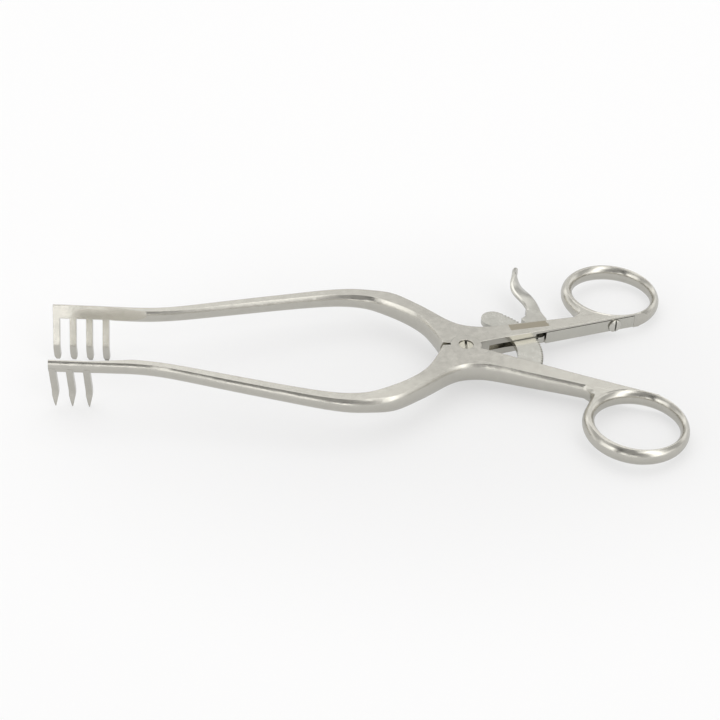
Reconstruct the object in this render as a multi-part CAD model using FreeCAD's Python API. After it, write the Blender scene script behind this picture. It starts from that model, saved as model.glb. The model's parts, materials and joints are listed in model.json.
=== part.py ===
import FreeCAD, Part
import math
import os

# Self-retaining retractor: two mirrored branches on one screw, a toothed sector on the lower branch
# and a sprung release lever in the handle of the upper branch.
# Millimetres. While it is built, the pivot axis is Z through the origin, z = 0 is the middle plane of
# the branches, the handles run to +X and the arms to -X. At the end everything is laid down on the
# table: prong tips and finger rings touch z = 0.

V = FreeCAD.Vector

# joint
joint_half = 3.3                # half thickness of the branches at the pivot
eye_radius = 5.0                # round tongues that lie on each other at the pivot
eye_clearance = 0.06            # between a tongue and the round recess it turns in
lap_clearance = 0.04            # between the two tongues, along the pivot axis
screw_radius = 1.7              # shank of the pivot screw
screw_head_radius = 2.4
screw_head_depth = 1.5          # depth of the countersunk step for the head
screw_head_sink = 0.35          # head top below the face of the eye
running_clearance = 0.05        # radial, for everything that turns on a shank or pin
stop_angle = 5.8                # degrees from -X to each stop shoulder

# handles and rings
handle_angle = 20.5             # degrees from +X to the flat inner face of a handle
ring_centre = (51.0, 35.2)
ring_inner = 13.3
ring_ridge = 15.2
ring_outer = 16.6
ring_half = 2.75
ring_hole_shift = 0.45          # the opening lies a little further from the joint than the outside

# combs
bar_y = 14.45                   # middle of the bar that carries the prongs
bar_half = 2.1                  # half height of the bar
bar_end_four = -135.0           # free end of the bar with four prongs
prong_pitch = 5.4
prong_width = 2.1
prong_thickness = 2.05
prong_slope = 0.32              # inward travel per unit of depth, inner face of bar and prongs
inner_face_y = -0.2             # inner face of the bar at z = 0, measured from the middle of the bar
prong_bend_z = -12.1            # depth where the prongs turn outwards
prong_tip_z = -17.6
prong_tip_out = 1.35            # outward travel from the bend to the tip
sharp_start_z = -13.5
blunt_start_z = -16.3

# ratchet sector, on the lower branch
sector_inner = 17.0
sector_tip = 25.2               # radius of the tooth tips
tooth_depth = 0.7
tooth_pitch = 2.9               # degrees
tooth_undercut = 0.25           # degrees
tooth_land = 0.35               # degrees
sector_half = 0.9               # half thickness
sector_end = 61.0               # degrees, centre of the round end
sector_root = -29.0             # degrees, end let into the lower handle
first_tooth = -18.05            # degrees
tooth_count = 27

# release lever with pawl nose, in the slot of the upper handle
slot_half = 1.0
slot_start = 8.5                # along the inner face of the handle, from the pivot
slot_end = 35.2
lever_half = 0.95
lever_pin_along = 31.5
lever_pin_across = 4.2
lever_pin_radius = 0.9
nose_gap = 0.1                  # nose to tooth tips

# leaf spring and its screw
leaf_start = 28.7
leaf_back = 0.75                # back of the leaf, behind the plane of the inner face
leaf_thickness = 0.9
leaf_low = -2.35
leaf_high = 1.9
leaf_gap = 0.12                 # gap between the leaf and the lip of the handle above it
leaf_relief = 0.5               # how much deeper the seat is under the free end
relief_end = 44.0
spring_screw_along = 54.2
leaf_end = spring_screw_along + 7.3
leaf_end_gap = 0.12             # between the leaf's fixed end and the end of its seat
spring_screw_z = -0.35
spring_screw_head = 2.2
spring_screw_head_height = 0.9
spring_screw_shank = 0.85
spring_screw_length = 1.9       # shank length in the handle


def polar(radius, degrees, z=0.0):
    """Point at a radius and an angle about the pivot."""
    a = math.radians(degrees)
    return V(radius * math.cos(a), radius * math.sin(a), z)


def handle_point(along, across, z=0.0):
    """Point in the upper handle: distance along its inner face, and outwards from that face."""
    a = math.radians(handle_angle)
    return V(along * math.cos(a) - across * math.sin(a), along * math.sin(a) + across * math.cos(a), z)


def prism(points, low, high):
    """Straight prism over a plan polygon."""
    wire = Part.makePolygon([V(p[0], p[1], low) for p in points] + [V(points[0][0], points[0][1], low)])
    return Part.Face(wire).extrude(V(0, 0, high - low))


def cylinder(radius, low, high, x=0.0, y=0.0):
    return Part.makeCylinder(radius, high - low, V(x, y, low), V(0, 0, 1))


def mirrored(shape):
    return shape.mirror(V(0, 0, 0), V(0, 1, 0))


def section(inner, outer, half, bulge_in, bulge_out):
    """Upright cross-section from an inner to an outer plan point: flat top and bottom, bowed sides."""
    a = V(inner[0], inner[1], 0)
    b = V(outer[0], outer[1], 0)
    d = (b - a).normalize()
    up = V(0, 0, half)
    a1 = a + d * bulge_in
    b1 = b - d * bulge_out
    edges = [Part.makeLine(a1 + up, b1 + up),
             Part.Arc(b1 + up, b, b1 - up).toShape(),
             Part.makeLine(b1 - up, a1 - up),
             Part.Arc(a1 - up, a, a1 + up).toShape()]
    return Part.Wire(edges)


# Arm stations: middle of the arm, width across it and half thickness, from the comb to the bow.
arm_stations = [
    (-125.0, bar_y, 3.3, 2.1), (-114.0, 14.35, 3.35, 2.1), (-107.0, 14.3, 3.4, 2.1), (-100.0, 14.8, 3.4, 2.1),
    (-94.0, 15.85, 3.5, 2.12), (-86.0, 17.8, 3.75, 2.15), (-76.0, 20.4, 4.05, 2.2), (-66.0, 22.95, 4.2, 2.25),
    (-56.0, 25.4, 4.4, 2.3), (-48.0, 27.25, 4.75, 2.4), (-41.5, 28.35, 5.1, 2.5), (-36.0, 28.6, 5.6, 2.6),
    (-31.0, 28.0, 6.1, 2.75)]

# Joint and handle stations: inner point, outer point, half thickness. The inner points of the joint
# and handle lie beyond the flat faces that are cut afterwards.
joint_stations = [
    ((-26.8, 23.2), (-23.6, 29.2), 2.95), ((-21.3, 19.9), (-17.6, 25.2), 3.15),
    ((-16.8, 16.3), (-12.9, 21.2), 3.3), ((-13.4, 12.2), (-8.5, 17.2), 3.3),
    ((-10.9, 7.4), (-4.9, 14.0), 3.3), ((-9.0, 2.9), (-1.8, 12.1), 3.3),
    ((-6.8, -2.4), (1.1, 11.25), 3.3), ((-2.0, -6.6), (4.2, 10.95), 3.3),
    ((4.5, -6.0), (7.2, 11.2), 3.3), ((10.0, -1.5), (10.4, 11.9), 3.3),
    ((15.0, 2.8), (14.2, 13.0), 3.22), ((21.0, 6.0), (19.0, 14.4), 3.1),
    ((28.0, 8.9), (25.8, 16.3), 2.95), ((35.0, 11.6), (32.2, 18.1), 2.8),
    ((42.2, 14.1), (38.6, 20.0), 2.74), ((48.2, 16.2), (45.0, 22.0), 2.73),
    ((54.4, 18.5), (52.4, 22.6), 2.72), ((60.4, 20.6), (59.2, 24.0), 2.7)]

# Stations of the neck between handle and ring, in the same form.
neck_stations = [
    ((36.5, 14.5), (34.8, 18.1), 2.6), ((40.0, 15.5), (36.5, 19.7), 2.66), ((44.0, 17.4), (37.7, 20.9), 2.69),
    ((47.4, 20.4), (38.15, 22.4), 2.69), ((47.0, 25.2), (37.75, 24.2), 2.69), ((43.6, 29.6), (36.8, 26.3), 2.69),
    ((41.2, 32.0), (35.95, 28.7), 2.68), ((40.8, 34.4), (35.7, 31.2), 2.6)]

lofted_bulge = 0.2              # bow of a rounded side, as a share of the width
handle_bulge = 0.95             # bow of the outer side of joint and handles


def branch_envelope(end_x):
    """Arm, joint and handle in one smooth body, before any cut. The bar end lies at end_x."""
    wires = []
    stations = [(end_x, bar_y, arm_stations[0][2], bar_half)] + arm_stations
    for i, (x, y, width, half) in enumerate(stations):
        before = stations[max(i - 1, 0)]
        after = stations[min(i + 1, len(stations) - 1)]
        t = V(after[0] - before[0], after[1] - before[1], 0)
        if i == len(stations) - 1:
            first = joint_stations[0]
            t = V((first[0][0] + first[1][0]) / 2 - before[0], (first[0][1] + first[1][1]) / 2 - before[1], 0)
        t.normalize()
        n = V(-t.y, t.x, 0)
        inner = (x - n.x * width / 2, y - n.y * width / 2)
        outer = (x + n.x * width / 2, y + n.y * width / 2)
        wires.append(section(inner, outer, half, lofted_bulge * width, lofted_bulge * width))
    for inner, outer, half in joint_stations:
        width = math.hypot(outer[0] - inner[0], outer[1] - inner[1])
        bulge = min(handle_bulge, 0.3 * width)
        wires.append(section(inner, outer, half, bulge, bulge))
    return Part.makeLoft(wires, True, False)


def finger_ring():
    """Blank of the ring: a band with a bowed outside, still without its opening."""
    cx, cy = ring_centre
    inside = ring_inner - 1.5
    top = V(cx + ring_ridge, cy, ring_half)
    low = V(cx + ring_ridge, cy, -ring_half)
    wire = Part.Wire([Part.Arc(top, V(cx + ring_outer, cy, 0), low).toShape(),
                      Part.makeLine(low, V(cx + inside, cy, -ring_half)),
                      Part.makeLine(V(cx + inside, cy, -ring_half), V(cx + inside, cy, ring_half)),
                      Part.makeLine(V(cx + inside, cy, ring_half), top)])
    return Part.Face(wire).revolve(V(cx, cy, 0), V(0, 0, 1), 360)


def ring_opening():
    """Cutter for the opening of the ring: narrowest halfway down, so that a ridge is left above and below."""
    cx, cy = ring_centre[0] + ring_hole_shift, ring_centre[1]
    edge = ring_ridge - 0.5
    top = V(cx + edge, cy, ring_half + 0.02)
    low = V(cx + edge, cy, -ring_half - 0.02)
    high = ring_half + 1.5
    wire = Part.Wire([Part.makeLine(V(cx, cy, -high), V(cx + edge + 0.4, cy, -high)),
                      Part.makeLine(V(cx + edge + 0.4, cy, -high), low),
                      Part.Arc(low, V(cx + ring_inner, cy, 0), top).toShape(),
                      Part.makeLine(top, V(cx + edge + 0.4, cy, high)),
                      Part.makeLine(V(cx + edge + 0.4, cy, high), V(cx, cy, high)),
                      Part.makeLine(V(cx, cy, high), V(cx, cy, -high))])
    return Part.Face(wire).revolve(V(cx, cy, 0), V(0, 0, 1), 360)


def ring_neck():
    """Neck that fills the corner between a handle and its ring and runs out along the ring's ridge."""
    wires = []
    for i, (inner, outer, half) in enumerate(neck_stations):
        bulge = 1.0 if i < 3 else 1.25
        wires.append(section(inner, outer, half, 0.3, bulge))
    return Part.makeLoft(wires, True, False)


def band_side(points):
    """Smooth edge through points of the prong profile."""
    curve = Part.BSplineCurve()
    curve.interpolate([V(0, p[0], p[1]) for p in points])
    return curve.toShape()


def comb(centres, sharp):
    """Prongs under the bar: a curved band across the comb, cut to separate prongs with shaped tips."""
    def inner(z):
        return bar_y + inner_face_y + prong_slope * z
    bend_y = inner(prong_bend_z)
    tip_half = 0.28 if sharp else 0.62
    tip_y = bend_y + 0.5 * prong_thickness + prong_tip_out
    below, low = prong_bend_z - 1.6, prong_bend_z - 3.5
    inner_points = [(inner(-0.6), -0.6), (inner(-4.5), -4.5), (inner(-9.0), -9.0), (bend_y + 0.12, prong_bend_z),
                    (bend_y + 0.33, below), (bend_y + 0.95, low), (tip_y - tip_half, prong_tip_z)]
    t = prong_thickness
    outer_points = [(inner(-0.6) + t, -0.6), (inner(-4.5) + t, -4.5), (inner(-9.0) + t, -9.0),
                    (bend_y + t + 0.1, prong_bend_z), (bend_y + t + 0.3, below), (bend_y + t + 0.72, low),
                    (tip_y + tip_half, prong_tip_z)]
    inner_edge = band_side(inner_points)
    outer_edge = band_side(outer_points)
    caps = [Part.makeLine(V(0, *inner_points[0]), V(0, *outer_points[0])),
            Part.makeLine(V(0, *inner_points[-1]), V(0, *outer_points[-1]))]
    face = Part.Face(Part.Wire(Part.__sortEdges__([inner_edge, caps[1], outer_edge, caps[0]])))
    x_low = min(centres) - prong_width
    band = face.extrude(V(max(centres) - min(centres) + 2 * prong_width, 0, 0))
    band.translate(V(x_low, 0, 0))
    w = prong_width / 2
    start = sharp_start_z if sharp else blunt_start_z
    end_w = 0.12 if sharp else 0.55
    prongs = []
    for c in centres:
        outline = [(c - w, -0.6), (c - w, start), (c - end_w, prong_tip_z), (c + end_w, prong_tip_z), (c + w, start),
                   (c + w, -0.6), (c - w, -0.6)]
        blank = Part.Face(Part.makePolygon([V(x, 0, z) for x, z in outline])).extrude(V(0, 40, 0))
        prongs.append(blank.common(band))
    return prongs


def comb_flat(last_prong):
    """Cutter for the flat ground on the inner side of the bar, running out into the arm."""
    y0 = bar_y + inner_face_y
    depth = 4.0
    shift = prong_slope * depth
    base = [(-140.0, y0 - shift), (last_prong + prong_width / 2 + 0.4, y0 - shift),
            (last_prong + 13.5, y0 - shift - 1.55), (last_prong + 13.5, y0 - shift - 8), (-140.0, y0 - shift - 8)]
    wire = Part.makePolygon([V(x, y, -depth) for x, y in base] + [V(base[0][0], base[0][1], -depth)])
    return Part.Face(wire).extrude(V(0, 2 * shift, 2 * depth))


def branch(centres, sharp, end_x):
    """One branch, built on the +Y side: body, ring, prongs and the cuts for joint and handle."""
    body = branch_envelope(end_x)
    handle_tan = math.tan(math.radians(handle_angle))
    reach = ring_centre[0] + 24.0
    back = 2.6 * eye_radius
    remove = prism([(0, 0), (-back, back * math.tan(math.radians(stop_angle))), (-back, -15),
                    (reach, -15), (reach, reach * handle_tan)], -6, 6)
    slab = Part.makeBox(400, 300, 2 * joint_half, V(-200, -150, -joint_half))
    body = body.fuse(finger_ring()).fuse(ring_neck()).cut(ring_opening()).cut(remove)
    body = body.common(slab)
    body = body.cut(comb_flat(max(centres)))
    return body.fuse(comb(centres, sharp)).removeSplitter()


four_centres = [bar_end_four + prong_width / 2 + 0.05 + i * prong_pitch for i in range(4)]
three_centres = [four_centres[0] + prong_pitch * (i + 0.5) for i in range(3)]
bar_end_three = three_centres[0] - prong_width / 2 - 0.05


def sector_outline():
    """Plan outline of the ratchet sector as a closed wire, teeth on its outer edge."""
    root_radius = sector_tip - tooth_depth
    points = [polar(root_radius, sector_root)]
    for k in range(tooth_count):
        a = first_tooth + k * tooth_pitch
        points.append(polar(root_radius, a + tooth_undercut))
        points.append(polar(sector_tip, a))
        points.append(polar(sector_tip, a + tooth_land))
        if k < tooth_count - 1:
            points.append(polar(root_radius, a + tooth_pitch - 0.1))
    mid = (sector_inner + sector_tip) / 2
    end_radius = (sector_tip - sector_inner) / 2
    centre = polar(mid, sector_end)
    last_angle = math.degrees(math.atan2(points[-1].y - centre.y, points[-1].x - centre.x))
    steps = 14
    start = last_angle
    stop = sector_end + 180.0
    for i in range(1, steps + 1):
        a = math.radians(start + (stop - start) * i / steps)
        points.append(centre + V(end_radius * math.cos(a), end_radius * math.sin(a), 0))
    edges = []
    for p, q in zip(points[:-1], points[1:]):
        if (q - p).Length > 1e-4:
            edges.append(Part.makeLine(p, q))
    inner_end = polar(sector_inner, sector_root)
    inner_mid = polar(sector_inner, (sector_root + sector_end) / 2)
    edges.append(Part.Arc(points[-1], inner_mid, inner_end).toShape())
    edges.append(Part.makeLine(inner_end, points[0]))
    return Part.Wire(edges)


def ratchet_sector():
    plate = Part.Face(sector_outline()).extrude(V(0, 0, 2 * sector_half))
    plate.translate(V(0, 0, -sector_half))
    return plate


def pivot_screw():
    """Slotted screw, fast in the lower tongue; the eye turns on it."""
    top = joint_half - screw_head_sink
    seat = joint_half - screw_head_depth
    body = cylinder(screw_head_radius, seat + lap_clearance, top).fuse(cylinder(screw_radius, -joint_half, seat + 0.5))
    slot = Part.makeBox(0.8, 6, 2, V(-0.4, -3, top - 0.7))
    return body.cut(slot).removeSplitter()


def lever_outline():
    """Plan outline of the flat part of the release lever, with its pawl nose."""
    nose_tip = sector_tip + nose_gap
    pin = handle_point(lever_pin_along, lever_pin_across)
    points = [polar(nose_tip, 20.0), polar(nose_tip + 0.05, 20.7), polar(26.5, 21.6)]
    for a in (24, 27, 30, 33, 36, 39, 42):
        points.append(polar(26.45 + 0.08 * (a - 24) / 3, a))
    points.append(polar(27.35, 44.2))
    points.append(V(20.6, 20.1, 0))
    points.append(V(21.4, 21.3, 0))
    points.append(V(21.6, 22.6, 0))
    points.append(V(21.3, 24.0, 0))
    points.append(V(26.2, 24.0, 0))
    points.append(V(26.9, 21.9, 0))
    points.append(V(27.9, 19.6, 0))
    for a in (75, 50, 25, 0, -25, -50, -72):
        r = math.radians(a + handle_angle - 5)
        points.append(pin + V(2.75 * math.cos(r), 2.75 * math.sin(r), 0))
    points.append(handle_point(30.6, leaf_back + 0.3))
    points.append(handle_point(29.9, leaf_back + 0.06))
    points.append(handle_point(28.75, leaf_back + 0.06))
    points.append(handle_point(28.45, 0.2))
    points.append(handle_point(28.1, -0.35))
    points.append(handle_point(27.2, -0.85))
    points.append(handle_point(26.3, -0.95))
    points.append(polar(nose_tip + 0.25, 18.7))
    return points


def lever_section(x, y, angle, width, thickness, twist):
    """Rounded oblong section of the thumb piece. The path direction in plan is angle; twist turns the
    left edge upwards."""
    a = math.radians(angle)
    left = V(-math.sin(a), math.cos(a), 0)
    t = math.radians(twist)
    u = left * math.cos(t) + V(0, 0, 1) * math.sin(t)
    n = V(0, 0, 1) * math.cos(t) - left * math.sin(t)
    c = V(x, y, 0)
    w, h, r = width / 2, thickness / 2, 0.3 * thickness
    rim = [(-w + r, -h), (w - r, -h), (w, -h + r), (w, h - r), (w - r, h), (-w + r, h), (-w, h - r), (-w, -h + r)]
    pts = [c + u * p + n * q for p, q in rim]
    return Part.makePolygon(pts + [pts[0]])


thumb_stations = [
    (24.3, 22.9, 101, 4.6, 1.9, 0), (24.1, 25.4, 104, 4.5, 1.88, 2), (23.5, 28.2, 110, 4.8, 1.8, 5),
    (22.5, 31.0, 117, 5.4, 1.75, 10), (21.2, 33.6, 120, 6.1, 1.7, 17), (20.0, 36.5, 112, 6.6, 1.7, 28),
    (19.6, 40.2, 98, 6.3, 1.7, 49), (19.4, 44.2, 88, 5.2, 1.65, 76), (19.75, 48.3, 84, 3.6, 1.6, 88)]


def release_lever():
    flat = prism([(p.x, p.y) for p in lever_outline()], -lever_half, lever_half)
    thumb = Part.makeLoft([lever_section(*s) for s in thumb_stations], True, False)
    pin = handle_point(lever_pin_along, lever_pin_across)
    hole = cylinder(lever_pin_radius + running_clearance, -3, 3, pin.x, pin.y)
    return flat.fuse(thumb).cut(hole).removeSplitter()


def handle_prism(outline, low, high):
    """Prism whose plan polygon is given as (along, across) of the upper handle."""
    return prism([tuple(handle_point(a, b))[:2] for a, b in outline], low, high)


def leaf_spring():
    face = leaf_back - leaf_thickness
    leaf = handle_prism([(leaf_start, leaf_back), (leaf_start + 0.25, face), (leaf_end - 0.12, face),
                         (leaf_end, leaf_back)], leaf_low, leaf_high)
    a = math.radians(handle_angle)
    out = V(math.sin(a), -math.cos(a), 0)
    hole = Part.makeCylinder(spring_screw_shank + running_clearance, 6,
                             handle_point(spring_screw_along, 3, spring_screw_z), out)
    return leaf.cut(hole)


def spring_screw():
    a = math.radians(handle_angle)
    out = V(math.sin(a), -math.cos(a), 0)
    along = V(math.cos(a), math.sin(a), 0)
    seat = handle_point(spring_screw_along, leaf_back - leaf_thickness, spring_screw_z)
    head = Part.makeCylinder(spring_screw_head, spring_screw_head_height, seat, out)
    dome = Part.makeSphere(5.2, seat + out * (spring_screw_head_height + 0.12 - 5.2))
    head = head.common(dome)
    shank = Part.makeCylinder(spring_screw_shank, leaf_thickness + spring_screw_length, seat, out * -1)
    body = head.fuse(shank)
    slot = Part.makeBox(0.6, 2, 6, V(-0.3, 0, -3))
    placement = FreeCAD.Placement(seat + out * (spring_screw_head_height - 0.5),
                                  FreeCAD.Rotation(along, out, V(0, 0, 1), "ZXY"))
    slot.Placement = placement
    return body.cut(slot).removeSplitter()


def upper_branch():
    """Branch with four blunt prongs; its handle carries lever, spring and screw."""
    body = branch(four_centres, False, bar_end_four)
    lower_tongue = cylinder(eye_radius, -joint_half, -lap_clearance)
    body = body.cut(cylinder(eye_radius + eye_clearance, 0, joint_half + 1))
    body = body.fuse(lower_tongue)
    body = body.cut(cylinder(screw_radius, -joint_half - 1, joint_half + 1))
    slot = handle_prism([(slot_start, -3), (slot_end, -3), (slot_end, 12), (slot_start, 12)], -slot_half, slot_half)
    body = body.cut(slot)
    seat = handle_prism([(leaf_start - 3.4, leaf_back + leaf_relief), (relief_end - 3, leaf_back + leaf_relief),
                         (relief_end, leaf_back), (leaf_end + leaf_end_gap, leaf_back),
                         (leaf_end + leaf_end_gap, -4),
                         (leaf_start - 3.4, -4)], -4, leaf_high + leaf_gap)
    body = body.cut(seat)
    pin = handle_point(lever_pin_along, lever_pin_across)
    body = body.cut(cylinder(lever_pin_radius, -4, 4, pin.x, pin.y))
    a = math.radians(handle_angle)
    hole = Part.makeCylinder(spring_screw_shank, spring_screw_length,
                             handle_point(spring_screw_along, leaf_back, spring_screw_z),
                             V(-math.sin(a), math.cos(a), 0))
    return body.cut(hole).removeSplitter()


def lever_pin(envelope):
    pin = handle_point(lever_pin_along, lever_pin_across)
    return cylinder(lever_pin_radius, -5, 5, pin.x, pin.y).common(envelope)


def lower_branch(sector):
    """Branch with three sharp prongs; its eye lies on top and its handle holds the ratchet sector."""
    body = mirrored(branch(three_centres, True, bar_end_three))
    body = body.cut(cylinder(eye_radius + eye_clearance, -joint_half - 1, 0))
    body = body.fuse(cylinder(eye_radius, lap_clearance, joint_half))
    body = body.cut(cylinder(screw_radius + running_clearance, -1, joint_half + 1))
    body = body.cut(cylinder(screw_head_radius + running_clearance, joint_half - screw_head_depth, joint_half + 1))
    return body.cut(sector).removeSplitter()


sector = ratchet_sector()
solids = {
    "lower_branch": lower_branch(sector),
    "upper_branch": upper_branch(),
    "pivot_screw": pivot_screw(),
    "ratchet_sector": sector,
    "release_lever": release_lever(),
    "lever_pin": lever_pin(branch_envelope(bar_end_four)),
    "leaf_spring": leaf_spring(),
    "spring_screw": spring_screw(),
}

# Lay the retractor down: the line under the prong tips and the finger rings becomes horizontal.
tip_x = three_centres[1]
ring_far_x = ring_centre[0] + ring_ridge
tilt = math.degrees(math.atan2(-ring_half - prong_tip_z, ring_far_x - tip_x))
turn = FreeCAD.Placement(V(0, 0, 0), FreeCAD.Rotation(V(0, 1, 0), tilt))
placed = {}
for name, shape in solids.items():
    copy = shape.copy()
    copy.Placement = turn.multiply(copy.Placement)
    placed[name] = copy
box = Part.makeCompound(list(placed.values())).optimalBoundingBox(False, False)
shift = V(-(box.XMin + box.XMax) / 2, -(box.YMin + box.YMax) / 2, -box.ZMin)

os.makedirs("parts", exist_ok=True)
for name, shape in placed.items():
    shape.translate(shift)
    shape.exportStep("parts/" + name + ".step")

whole = FreeCAD.Placement(shift, FreeCAD.Rotation(V(0, 1, 0), tilt))
print("tilt", round(tilt, 4), "shift", [round(c, 4) for c in shift])
print("box", [round(c, 3) for c in (box.XLength, box.YLength, box.ZLength)])
print("axis", [round(c, 6) for c in whole.Rotation.multVec(V(0, 0, 1))])
print("pivot", [round(c, 5) for c in whole.multVec(V(0, 0, 0))])
print("lever pin", [round(c, 5) for c in whole.multVec(handle_point(lever_pin_along, lever_pin_across))])
for name, shape in placed.items():
    print(name, "solids", len(shape.Solids), "valid", shape.isValid(), "faces", len(shape.Faces),
          "volume", round(shape.Volume, 2))
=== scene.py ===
import json
import math

import bmesh
import bpy
import numpy as np
from mathutils import Euler, Matrix, Vector


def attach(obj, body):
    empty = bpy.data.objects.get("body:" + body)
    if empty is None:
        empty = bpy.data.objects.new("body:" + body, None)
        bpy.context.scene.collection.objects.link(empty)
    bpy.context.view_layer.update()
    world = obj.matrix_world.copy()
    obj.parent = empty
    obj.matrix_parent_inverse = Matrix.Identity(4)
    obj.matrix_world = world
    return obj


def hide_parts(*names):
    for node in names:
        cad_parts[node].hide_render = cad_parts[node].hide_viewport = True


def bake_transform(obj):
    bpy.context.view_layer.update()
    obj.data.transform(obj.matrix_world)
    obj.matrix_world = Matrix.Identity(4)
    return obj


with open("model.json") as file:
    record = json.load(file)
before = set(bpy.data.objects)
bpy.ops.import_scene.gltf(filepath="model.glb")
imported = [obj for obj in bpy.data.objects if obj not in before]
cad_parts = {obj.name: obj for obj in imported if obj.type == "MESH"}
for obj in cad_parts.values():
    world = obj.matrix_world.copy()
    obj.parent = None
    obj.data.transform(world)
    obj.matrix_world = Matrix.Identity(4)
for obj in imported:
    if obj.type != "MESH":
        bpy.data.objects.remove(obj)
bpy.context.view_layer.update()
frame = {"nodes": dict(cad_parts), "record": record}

RECORD = frame["record"]
JOINTS = {joint["name"]: joint for joint in RECORD["behaviour"]["joints"]}
BODY = {
    "lower_branch": "lower_half",
    "ratchet_sector": "lower_half",
    "upper_branch": "upper_half",
    "pivot_screw": "upper_half",
    "lever_pin": "upper_half",
    "leaf_spring": "upper_half",
    "spring_screw": "upper_half",
    "release_lever": "lever",
}

# The instrument's own frame: the origin is the pivot, +Z its axis, and the handles point to +X.
PIVOT = Vector(JOINTS["arm_spread"]["pos_m"])
AXIS = -Vector(JOINTS["arm_spread"]["axis"]).normalized()
MM = 0.001
HANDLE_ANGLE = math.radians(20.5)
RING_X, RING_Y = 51.0, 35.2

# Leaf spring and its screw, in millimetres along the upper handle's flat inner face and outwards from it.
LEAF_END = 61.5
LEAF_THICKNESS = 0.9
LEAF_SEAT_DEPTH = 0.75
LEAF_END_ZONE = 0.2
LEAF_GAP = 0.11
SCREW_ALONG = 54.2
SCREW_SEAT = LEAF_SEAT_DEPTH - LEAF_THICKNESS
SCREW_UP = -0.35
HEAD_RADIUS = 2.2
HEAD_HEIGHT = 0.9
HEAD_FLAT_RADIUS = 1.11
HEAD_FLAT_DEPTH = 0.12
DOME_RADIUS = 5.2
DOME_STEPS = 7
SHANK_RADIUS = 0.85
SHANK_LENGTH = LEAF_THICKNESS + 1.9
SCREW_SIDES = 56
SLOT_WIDTH = 0.6
SLOT_DEPTH = 0.5
SLOT_CUTTER_TOP = 2.0
SLOT_CUTTER_HALF_LENGTH = 3.0

# Meshes: vertices closer than the weld become one, and a fold sharper than the ridge angle stays sharp.
WELD = 2e-6
RIDGE_ANGLE = math.radians(28.0)

# Satin finish and painted crevice shade, lengths in metres. A sway is the share of the hairlines, then that
# of the clouds.
HAIRLINE_STRETCH = (300.0, 8000.0, 8000.0)
HAIRLINE_NOISE = {"Scale": 1.0, "Detail": 3.0, "Roughness": 0.6}
CLOUD_NOISE = {"Scale": 420.0, "Detail": 4.0}
NOISE_MIDDLE = 0.5
ROUGHNESS_SWAY = (0.16, 0.18)
TINT_SWAY = (0.08, 0.13)
HAIRLINE_DEPTH = 0.00002
HAIRLINE_GRAIN = 0.8
RING_OUTER_RADIUS = 0.0172
RING_MIDDLE_RADIUS = 0.015
NO_RING = (9.0, 9.0, 9.0)
# Painted shade in crevices: ambient occlusion within the width, from closed to open, darkens the colour down
# to the crevice shade.
CREVICE_WIDTH = 0.0014
CREVICE_CLOSED, CREVICE_OPEN = 0.12, 0.8
CREVICE_SHADE = 0.1
SOFT_SAMPLES = 6

# Etched field on the upper handle, in millimetres along the inner face, outwards, and up from the pivot.
FIELD_ALONG = (17.05, 30.63)
FIELD_ACROSS = (4.11, 7.23)
FIELD_SLANT = -0.1
FIELD_TAPER = 0.07
FIELD_ABOVE = 2.0
FIELD_SOFTNESS = 0.1
FIELD_TINT = (0.33, 0.30, 0.24, 1.0)
FIELD_ROUGHER = 0.2

# Paper floor: its glow, and a painted shadow: a pool of weaker glow round the instrument, in metres on the
# floor.
PAPER_COLOR = (0.34, 0.34, 0.342, 1.0)
PAPER_ROUGHNESS = 0.9
PAPER_SPECULAR = 0.1
PAPER_GLOW = 0.61
GLOW_COLOR = (1.0, 1.0, 1.0, 1.0)
MIRRORED_SHARE = 0.72
POOL_X, POOL_Y = 0.03, -0.012
POOL_LENGTH, POOL_WIDTH = 0.12, 0.085
POOL_INNER, POOL_OUTER = 0.3, 1.5
PAINTED_SHADOW_LOSS = 0.07
FLOOR_CORNERS = ((-3, -3, 0), (3, -3, 0), (3, 4, 0), (-3, 4, 0))

# Studio: the lamp overhead, the even surroundings, and the soft boxes that the steel mirrors.
STUDIO_WHITE = (1.0, 0.995, 0.985)
LAMP_PLACE = Vector((0.05, 0.2, 1.0))
LAMP_SIZE = (1.7, 1.3)
LAMP_POWER = 4.8
SURROUNDINGS = 0.57
FRONT_COSINE = 0.3
# In degrees: azimuth (0 is towards the camera, + to the right), elevation, half width, half height, soft rim.
# The last number is the level; below zero it is a dark panel.
SOFT_BOXES = (
    (40, 20, 6, 26, 12, 1.35),
    (54, 16, 7, 20, 8, 0.4),
    (26, 48, 7, 5, 8, 0.9),
    (-62, 18, 13, 13, 8, 0.9),
    (-51, 21, 3, 7, 5, 0.6),
    (-38, 27, 4, 20, 5, -0.35),
    (-27, 3, 4, 11, 5, 1.2),
    (-8, 1, 5, 3, 4, 2.2),
    (-8, 40, 18, 18, 10, -0.18),
    (-98, 3, 8, 5, 6, 0.6),
    (66, 3, 10, 6, 6, 0.55),
    (-125, 8, 15, 10, 12, 0.5),
    (122, 5, 14, 10, 12, 0.6),
    (-158, 42, 12, 25, 20, 0.5),
    (155, 38, 7, 20, 4, 0.6),
    (-10, 14, 6, 3, 4, -0.35),
)

# Camera: millimetres for the lens, metres for its place, degrees for its turn about X, Y and Z.
SENSOR_WIDTH = 36.0
FOCAL_LENGTH = 87.3196
CAMERA_PLACE = Vector((0.01002346, -0.4554125, 0.34425509))
CAMERA_TURN = (53.4287, 1.7665, -0.0533)


def lie(x, y, z):
    """A point of the instrument's own frame, in millimetres, as a point of the scene in metres."""
    across = Vector((AXIS.z, 0.0, -AXIS.x))
    return PIVOT + MM * (across * x + Vector((0, 1, 0)) * y + AXIS * z)


def handle(along, outwards, up=0.0):
    """The same for the upper handle: along its flat inner face, outwards from that face, and up."""
    cosine, sine = math.cos(HANDLE_ANGLE), math.sin(HANDLE_ANGLE)
    return lie(along * cosine - outwards * sine, along * sine + outwards * cosine, up)


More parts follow.
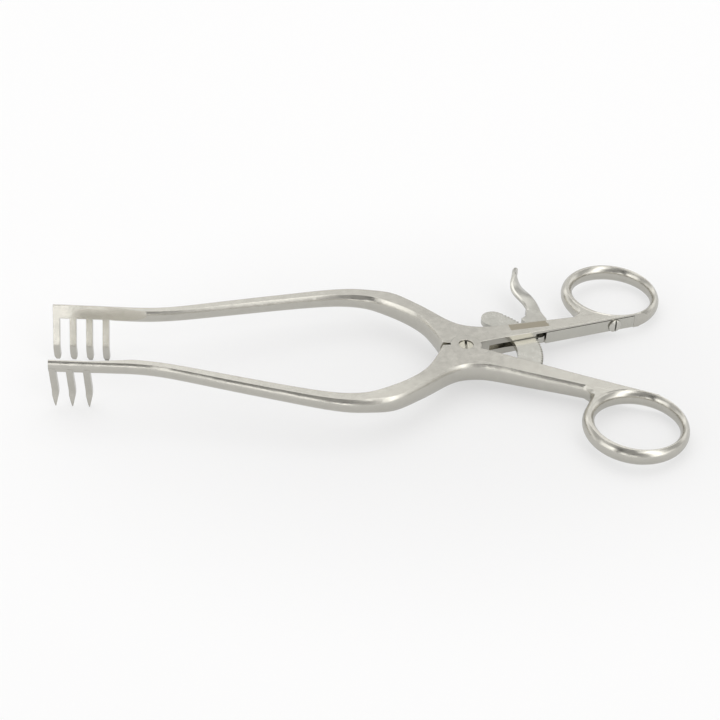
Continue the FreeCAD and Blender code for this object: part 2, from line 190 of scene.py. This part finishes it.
HANDLE_ORIGIN = handle(0, 0)
HANDLE_ALONG = (handle(1, 0) - HANDLE_ORIGIN) / MM
HANDLE_OUTWARDS = (handle(0, 1) - HANDLE_ORIGIN) / MM
HANDLE_UP = (handle(0, 0, 1) - HANDLE_ORIGIN) / MM


# Shader nodes

def feed(tree, socket, value):
    """Links another node's output to the socket, or sets the socket to a plain value."""
    if isinstance(value, bpy.types.NodeSocket):
        tree.links.new(value, socket)
    else:
        socket.default_value = value


def math_node(tree, operation, *values, clamp=False):
    node = tree.nodes.new("ShaderNodeMath")
    node.operation = operation
    node.use_clamp = clamp
    for socket, value in zip(node.inputs, values):
        feed(tree, socket, value)
    return node.outputs["Value"]


def vector_node(tree, operation, *vectors, scale=None):
    node = tree.nodes.new("ShaderNodeVectorMath")
    node.operation = operation
    for socket, vector in zip(node.inputs, vectors):
        feed(tree, socket, vector)
    if scale is not None:
        feed(tree, node.inputs["Scale"], scale)
    return node.outputs["Value" if operation in ("DOT_PRODUCT", "LENGTH") else "Vector"]


def ramp(tree, value, start, end, low=0.0, high=1.0, kind="LINEAR"):
    """Low where the value is at its start, high at its end, with a straight or a smooth slope between."""
    node = tree.nodes.new("ShaderNodeMapRange")
    node.interpolation_type = kind
    numbers = {"Value": value, "From Min": start, "From Max": end, "To Min": low, "To Max": high}
    for name, number in numbers.items():
        feed(tree, node.inputs[name], number)
    return node.outputs["Result"]


def noise(tree, point, values):
    node = tree.nodes.new("ShaderNodeTexNoise")
    for name, value in values.items():
        node.inputs[name].default_value = value
    tree.links.new(point, node.inputs["Vector"])
    return node.outputs["Fac"]


def object_point(tree):
    return tree.nodes.new("ShaderNodeTexCoord").outputs["Object"]


def new_group(name, inputs, outputs):
    """A shader node group. Its inputs and outputs are names, each with the kind of its socket."""
    group = bpy.data.node_groups.new(name, "ShaderNodeTree")
    for side, sockets in (("INPUT", inputs), ("OUTPUT", outputs)):
        for socket, kind in sockets.items():
            group.interface.new_socket(name=socket, in_out=side, socket_type="NodeSocket" + kind)
    return group, group.nodes.new("NodeGroupInput"), group.nodes.new("NodeGroupOutput")


# Materials

def brushing(tree, point, direction, ring):
    """The point measured along and across the brushing, so that stretched noise on it makes hairlines.

    Away from the ring that is the point turned by the direction. Nearer to the ring's centre than its outer
    radius the brushing runs round: the angle times the ring's middle radius is the way along it, and the
    distance from the centre the way across it."""
    turn = tree.nodes.new("ShaderNodeVectorRotate")
    turn.rotation_type = "Z_AXIS"
    tree.links.new(point, turn.inputs["Vector"])
    tree.links.new(direction, turn.inputs["Angle"])
    parts = tree.nodes.new("ShaderNodeSeparateXYZ")
    tree.links.new(vector_node(tree, "SUBTRACT", point, ring), parts.inputs[0])
    x, y, z = parts.outputs
    squares = math_node(tree, "ADD", math_node(tree, "POWER", x, 2.0), math_node(tree, "POWER", y, 2.0))
    radius = math_node(tree, "SQRT", squares)
    arc = math_node(tree, "MULTIPLY", math_node(tree, "ARCTAN2", y, x), RING_MIDDLE_RADIUS)
    around = tree.nodes.new("ShaderNodeCombineXYZ")
    for socket, value in zip(around.inputs, (arc, radius, z)):
        tree.links.new(value, socket)
    way = tree.nodes.new("ShaderNodeMix")
    way.data_type = "VECTOR"
    tree.links.new(math_node(tree, "LESS_THAN", radius, RING_OUTER_RADIUS), way.inputs["Factor"])
    tree.links.new(turn.outputs[0], way.inputs[4])
    tree.links.new(around.outputs[0], way.inputs[5])
    return way.outputs[1]


def painted_crevice_shade(tree):
    """Painted shade: 1 on open faces, down to a tenth in closed-in slots, tooth gaps and seams."""
    crevice = tree.nodes.new("ShaderNodeAmbientOcclusion")
    crevice.samples = SOFT_SAMPLES
    crevice.inputs["Distance"].default_value = CREVICE_WIDTH
    return ramp(tree, crevice.outputs["AO"], CREVICE_CLOSED, CREVICE_OPEN, CREVICE_SHADE)


def satin_normal(tree, hairlines, grain, edge):
    """The surface's normal, rounded over its edges and tilted a little by the hairlines."""
    bevel = tree.nodes.new("ShaderNodeBevel")
    bevel.samples = SOFT_SAMPLES
    tree.links.new(edge, bevel.inputs["Radius"])
    bump = tree.nodes.new("ShaderNodeBump")
    bump.inputs["Distance"].default_value = HAIRLINE_DEPTH
    tree.links.new(grain, bump.inputs["Strength"])
    tree.links.new(hairlines, bump.inputs["Height"])
    tree.links.new(bevel.outputs["Normal"], bump.inputs["Normal"])
    return bump.outputs["Normal"]


def satin_finish_and_painted_shade():
    """Brushed and polished steel: fine hairlines, faint clouds, painted shade in crevices and rounded edges.

    Hairlines and clouds are noise about its middle. Roughness and tint each sway with both of them, by their
    own shares, and the hairlines also tilt the normal."""
    inputs = {"Tint": "Color", "Roughness": "Float", "Grain": "Float", "Direction": "Float", "Edge": "Float",
              "Ring": "Vector"}
    outputs = {"Color": "Color", "Roughness": "Float", "Normal": "Vector"}
    tree, given, made = new_group("satin_finish_and_painted_shade", inputs, outputs)
    point = object_point(tree)
    way = brushing(tree, point, given.outputs["Direction"], given.outputs["Ring"])
    hairlines = noise(tree, vector_node(tree, "MULTIPLY", way, HAIRLINE_STRETCH), HAIRLINE_NOISE)
    clouds = noise(tree, point, CLOUD_NOISE)

    def sway(middle, shares, clamp=False):
        swings = []
        for pattern, share in zip((hairlines, clouds), shares):
            about_zero = math_node(tree, "SUBTRACT", pattern, NOISE_MIDDLE)
            swings.append(math_node(tree, "MULTIPLY", about_zero, share))
        return math_node(tree, "ADD", middle, math_node(tree, "ADD", *swings), clamp=clamp)

    # The tint's random sway, times the painted shade in crevices.
    shade = math_node(tree, "MULTIPLY", sway(1.0, TINT_SWAY), painted_crevice_shade(tree))
    normal = satin_normal(tree, hairlines, given.outputs["Grain"], given.outputs["Edge"])
    tree.links.new(vector_node(tree, "SCALE", given.outputs["Tint"], scale=shade), made.inputs["Color"])
    tree.links.new(sway(given.outputs["Roughness"], ROUGHNESS_SWAY, clamp=True), made.inputs["Roughness"])
    tree.links.new(normal, made.inputs["Normal"])
    return tree


def etched_field():
    """Mask of the etched field: 1 inside a slightly slanted four-sided field on the upper handle's top face.

    It is the product of a soft step at each end, one at each long side, and one in height, which keeps it off
    the handle's flanks and underside. A step is 0.5 at its edge and rises over the softness."""
    tree, _, made = new_group("etched_field", {}, {"Mask": "Float"})
    offset = vector_node(tree, "SUBTRACT", object_point(tree), PIVOT)
    along, outwards, up = (vector_node(tree, "DOT_PRODUCT", offset, direction / MM)
                           for direction in (HANDLE_ALONG, HANDLE_OUTWARDS, AXIS))

    def leaning(value, other, share):
        return math_node(tree, "ADD", value, math_node(tree, "MULTIPLY", other, share))

    def step(value, edge, side):
        past = math_node(tree, "SUBTRACT", value, edge)
        rise = math_node(tree, "MULTIPLY", past, side / FIELD_SOFTNESS)
        return math_node(tree, "ADD", rise, 0.5, clamp=True)

    lengthwise = leaning(along, outwards, FIELD_SLANT)
    across = leaning(outwards, along, FIELD_TAPER)
    mask = step(up, FIELD_ABOVE, 1)
    for value, limits in ((lengthwise, FIELD_ALONG), (across, FIELD_ACROSS)):
        for edge, side in zip(limits, (1, -1)):
            mask = math_node(tree, "MULTIPLY", mask, step(value, edge, side))
    tree.links.new(mask, made.inputs["Mask"])
    return tree


SATIN_AND_PAINTED_SHADE = satin_finish_and_painted_shade()
ETCHED_FIELD = etched_field()


def steel(name, tint, roughness, direction=0.0, edge=0.00018, ring=NO_RING, etched=False):
    """One piece's satin steel. Direction turns the brushing, in radians; edge rounds its edges, in metres."""
    material = bpy.data.materials.new(name)
    material.use_nodes = True
    tree = material.node_tree
    surface = tree.nodes["Principled BSDF"]
    surface.inputs["Metallic"].default_value = 1.0
    finish = tree.nodes.new("ShaderNodeGroup")
    finish.node_tree = SATIN_AND_PAINTED_SHADE
    values = {"Tint": (*tint, 1.0), "Roughness": roughness, "Grain": HAIRLINE_GRAIN, "Direction": direction,
              "Edge": edge, "Ring": ring}
    for socket, value in values.items():
        finish.inputs[socket].default_value = value
    color, rough = finish.outputs["Color"], finish.outputs["Roughness"]
    if etched:
        field = tree.nodes.new("ShaderNodeGroup")
        field.node_tree = ETCHED_FIELD
        mask = field.outputs["Mask"]
        mix = tree.nodes.new("ShaderNodeMix")
        mix.data_type = "RGBA"
        tree.links.new(mask, mix.inputs["Factor"])
        tree.links.new(color, mix.inputs[6])
        mix.inputs[7].default_value = FIELD_TINT
        color = mix.outputs[2]
        rough = math_node(tree, "ADD", rough, math_node(tree, "MULTIPLY", mask, FIELD_ROUGHER), clamp=True)
    tree.links.new(color, surface.inputs["Base Color"])
    tree.links.new(rough, surface.inputs["Roughness"])
    tree.links.new(finish.outputs["Normal"], surface.inputs["Normal"])
    return material


WARM = (0.60, 0.584, 0.533)
LOWER_RING, UPPER_RING = lie(RING_X, -RING_Y, 0), lie(RING_X, RING_Y, 0)
STEEL = {
    "lower_branch": steel("branch_steel_lower", WARM, 0.2, direction=0.2, ring=LOWER_RING),
    "upper_branch": steel("branch_steel_upper", WARM, 0.2, direction=-0.2, ring=UPPER_RING, etched=True),
    "ratchet_sector": steel("sector_steel", (0.60, 0.592, 0.545), 0.24, direction=1.2, edge=0.00008),
    "release_lever": steel("lever_steel", (0.58, 0.57, 0.525), 0.2, direction=1.6, edge=0.00022),
    "pivot_screw": steel("screw_steel", (0.64, 0.62, 0.53), 0.26, edge=0.0001),
    "lever_pin": steel("pin_steel", WARM, 0.2, edge=0.00002),
    "leaf_spring": steel("spring_steel", (0.60, 0.59, 0.54), 0.22, direction=-0.36, edge=0.00008),
    "spring_screw": steel("spring_screw_steel", (0.66, 0.65, 0.60), 0.24, edge=0.0001),
}


# Pieces

def skin(node, mesh):
    """The visible piece of a node: the mesh with smooth faces, sharp ridges and the node's own steel."""
    mesh.shade_smooth()
    mesh.set_sharp_from_angle(angle=RIDGE_ANGLE)
    mesh.materials.clear()
    mesh.materials.append(STEEL[node])
    piece = bpy.data.objects.new(node + "_skin", mesh)
    bpy.context.scene.collection.objects.link(piece)
    return piece


def welded_surface(node):
    """The node's own surface as one mesh, with its loose triangles welded and its stored normals dropped."""
    mesh = bpy.data.meshes.new(node + "_surface")
    weld = bmesh.new()
    weld.from_mesh(frame["nodes"][node].data)
    bmesh.ops.remove_doubles(weld, verts=weld.verts, dist=WELD)
    weld.to_mesh(mesh)
    weld.free()
    for attribute in ("custom_normal", "sharp_edge"):
        if attribute in mesh.attributes:
            mesh.attributes.remove(mesh.attributes[attribute])
    return mesh


def reach_seat_end(leaf):
    """Moves the leaf's fixed end up against the end of its seat, which the solid leaves a little clear.

    Every vertex that lies farther along the handle than the leaf's end less its end zone goes ahead by the
    gap."""
    vertices = leaf.data.vertices
    points = np.empty((len(vertices), 3), dtype=np.float32)
    vertices.foreach_get("co", points.ravel())
    along = (points - np.array(HANDLE_ORIGIN)) @ np.array(HANDLE_ALONG)
    points[along > MM * (LEAF_END - LEAF_END_ZONE)] += np.array(HANDLE_ALONG) * MM * LEAF_GAP
    vertices.foreach_set("co", points.ravel())
    leaf.data.update()


def screw_place(points):
    """Points of the screw's own frame, x along the handle and y out of the seat, as points of the scene."""
    axes = np.array((HANDLE_ALONG, -HANDLE_OUTWARDS, HANDLE_UP))
    return np.array(handle(SCREW_ALONG, SCREW_SEAT, SCREW_UP)) + MM * (points @ axes)


def closed_object(name, points, faces):
    """An object whose faces all point outwards. Without faces it is the convex hull of its points."""
    mesh = bpy.data.meshes.new(name)
    mesh.from_pydata(points.tolist(), [], faces)
    solid = bmesh.new()
    solid.from_mesh(mesh)
    if not faces:
        bmesh.ops.convex_hull(solid, input=solid.verts[:])
    bmesh.ops.recalc_face_normals(solid, faces=solid.faces)
    solid.to_mesh(mesh)
    solid.free()
    piece = bpy.data.objects.new(name, mesh)
    bpy.context.scene.collection.objects.link(piece)
    return piece


def turned_blank():
    """Shank and domed head of the leaf's screw as a surface of revolution, without its slot.

    A profile point of radius r and height h becomes the ring (r cos t, h, r sin t) over all angles t. The
    dome's height at radius r is that of a sphere, which a small flat cuts off in the middle. At both ends the
    profile meets the axis in a single vertex, and a fan of triangles closes it to the next ring."""
    dome = np.linspace(HEAD_RADIUS, HEAD_FLAT_RADIUS, DOME_STEPS)
    dome_height = np.sqrt(DOME_RADIUS ** 2 - dome ** 2) - DOME_RADIUS + HEAD_HEIGHT + HEAD_FLAT_DEPTH
    radius = np.array((SHANK_RADIUS, SHANK_RADIUS, HEAD_RADIUS, *dome))[:, None]
    height = np.array((-SHANK_LENGTH, 0.0, 0.0, *dome_height))[:, None]
    angle = 2 * np.pi * np.arange(SCREW_SIDES) / SCREW_SIDES
    rings = np.stack(np.broadcast_arrays(radius * np.cos(angle), height, radius * np.sin(angle)), axis=-1)
    points = np.vstack(((0, -SHANK_LENGTH, 0), rings.reshape(-1, 3), (0, HEAD_HEIGHT, 0)))
    last = len(points) - 1
    ring_index = np.arange(1, last).reshape(-1, SCREW_SIDES)
    index = np.vstack((np.zeros(SCREW_SIDES, int), ring_index, np.full(SCREW_SIDES, last)))
    beside = np.roll(index, -1, axis=1)
    corners = np.stack((index[:-1], beside[:-1], beside[1:], index[1:]), axis=-1)
    low_fan, walls, high_fan = corners[0][:, [0, 2, 3]], corners[1:-1].reshape(-1, 4), corners[-1][:, :3]
    faces = low_fan.tolist() + walls.tolist() + high_fan.tolist()
    return closed_object("turned_screw", screw_place(points), faces)


def slotted_screw_surface():
    """The screw's blank with a slot milled straight across its face, as one mesh."""
    blank = turned_blank()
    sides = ((-SLOT_WIDTH / 2, SLOT_WIDTH / 2), (HEAD_HEIGHT - SLOT_DEPTH, SLOT_CUTTER_TOP),
             (-SLOT_CUTTER_HALF_LENGTH, SLOT_CUTTER_HALF_LENGTH))
    corners = np.stack(np.meshgrid(*sides, indexing="ij"), axis=-1).reshape(-1, 3)
    cutter = closed_object("slot_cutter", screw_place(corners), [])
    cut = blank.modifiers.new("slot", "BOOLEAN")
    cut.operation = "DIFFERENCE"
    cut.solver = "EXACT"
    cut.object = cutter
    mesh = bpy.data.meshes.new_from_object(blank.evaluated_get(bpy.context.evaluated_depsgraph_get()))
    mesh.name = "spring_screw_surface"
    for tool in (blank, cutter):
        bpy.data.objects.remove(tool)
    return mesh


for name, body in BODY.items():
    piece = skin(name, slotted_screw_surface() if name == "spring_screw" else welded_surface(name))
    if name == "leaf_spring":
        reach_seat_end(piece)
        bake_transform(piece)
    else:
        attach(piece, body)
    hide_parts(name)


# Floor, lamp and surroundings

def paper():
    """Matt white paper with a glow that the camera sees in full and the steel's mirrored rays see in part.

    The glow is a little weaker in an oval pool round the instrument, which is painted shadow. It rises
    smoothly between two distances, which are shares of the oval's size."""
    material = bpy.data.materials.new("paper")
    material.use_nodes = True
    tree = material.node_tree
    surface = tree.nodes["Principled BSDF"]
    surface.inputs["Base Color"].default_value = PAPER_COLOR
    surface.inputs["Roughness"].default_value = PAPER_ROUGHNESS
    surface.inputs["Specular IOR Level"].default_value = PAPER_SPECULAR
    surface.inputs["Emission Color"].default_value = GLOW_COLOR
    ray = tree.nodes.new("ShaderNodeLightPath").outputs
    mirrored = math_node(tree, "MULTIPLY", ray["Is Glossy Ray"], MIRRORED_SHARE)
    seen = math_node(tree, "ADD", ray["Is Camera Ray"], mirrored)
    seen = math_node(tree, "ADD", seen, ray["Is Transmission Ray"], clamp=True)
    shrink = (1 / POOL_LENGTH, 1 / POOL_WIDTH, 0.0)
    shift = (-POOL_X / POOL_LENGTH, -POOL_Y / POOL_WIDTH, 0.0)
    away = vector_node(tree, "LENGTH", vector_node(tree, "MULTIPLY_ADD", object_point(tree), shrink, shift))
    # Painted shadow: the glow is weaker by the loss inside the oval round the instrument.
    glow = ramp(tree, away, POOL_INNER, POOL_OUTER, PAPER_GLOW - PAINTED_SHADOW_LOSS, PAPER_GLOW, "SMOOTHSTEP")
    tree.links.new(math_node(tree, "MULTIPLY", seen, glow), surface.inputs["Emission Strength"])
    return material


floor_mesh = bpy.data.meshes.new("floor")
floor_mesh.from_pydata(FLOOR_CORNERS, [], [(0, 1, 2, 3)])
floor_mesh.materials.append(paper())
floor = bpy.data.objects.new("floor", floor_mesh)
bpy.context.scene.collection.objects.link(floor)

lamp_data = bpy.data.lights.new("overhead", "AREA")
lamp_data.shape = "RECTANGLE"
lamp_data.size, lamp_data.size_y = LAMP_SIZE
lamp_data.energy = LAMP_POWER
lamp_data.color = STUDIO_WHITE
lamp = bpy.data.objects.new("overhead", lamp_data)
lamp.location = LAMP_PLACE
lamp.rotation_euler = (-LAMP_PLACE).to_track_quat("-Z", "Y").to_euler()
bpy.context.scene.collection.objects.link(lamp)


def soft_box(tree, sky, azimuth, elevation, half_width, half_height, rim, level):
    """Light from a soft-edged rectangle of the surroundings, centred on one direction.

    It is the level times three windows over the direction's parts: to the side and up, each 1 up to the sine
    of the half size and 0 from the sine of the half size with its rim, and one ahead that leaves the back
    dark."""
    turn, lift = math.radians(azimuth), math.radians(elevation)
    ahead = Vector((math.sin(turn) * math.cos(lift), -math.cos(turn) * math.cos(lift), math.sin(lift)))
    right = Vector((math.cos(turn), math.sin(turn), 0.0))
    up = ahead.cross(right)
    light = ramp(tree, vector_node(tree, "DOT_PRODUCT", sky, ahead), 0.0, FRONT_COSINE, kind="SMOOTHSTEP")
    for side, half in ((right, half_width), (up, half_height)):
        distance = math_node(tree, "ABSOLUTE", vector_node(tree, "DOT_PRODUCT", sky, side))
        dark, bright = math.sin(math.radians(half + rim)), math.sin(math.radians(half))
        light = math_node(tree, "MULTIPLY", light, ramp(tree, distance, dark, bright, kind="SMOOTHSTEP"))
    return math_node(tree, "MULTIPLY", light, level)


def studio():
    """The world: even pale light, with the soft boxes added to it."""
    world = bpy.data.worlds.new("studio")
    world.use_nodes = True
    tree = world.node_tree
    sky = tree.nodes.new("ShaderNodeTexCoord").outputs["Generated"]
    light = SURROUNDINGS
    for box in SOFT_BOXES:
        light = math_node(tree, "ADD", soft_box(tree, sky, *box), light)
    background = tree.nodes["Background"]
    background.inputs["Color"].default_value = (*STUDIO_WHITE, 1.0)
    tree.links.new(light, background.inputs["Strength"])
    return world


bpy.context.scene.world = studio()

camera_data = bpy.data.cameras.new("camera")
camera_data.sensor_width = SENSOR_WIDTH
camera_data.lens = FOCAL_LENGTH
camera = bpy.data.objects.new("camera", camera_data)
camera_turn = Euler([math.radians(angle) for angle in CAMERA_TURN])
camera.matrix_world = Matrix.LocRotScale(CAMERA_PLACE, camera_turn, None)
bpy.context.scene.collection.objects.link(camera)
bpy.context.scene.camera = camera
bpy.context.scene.view_settings.view_transform = "Standard"
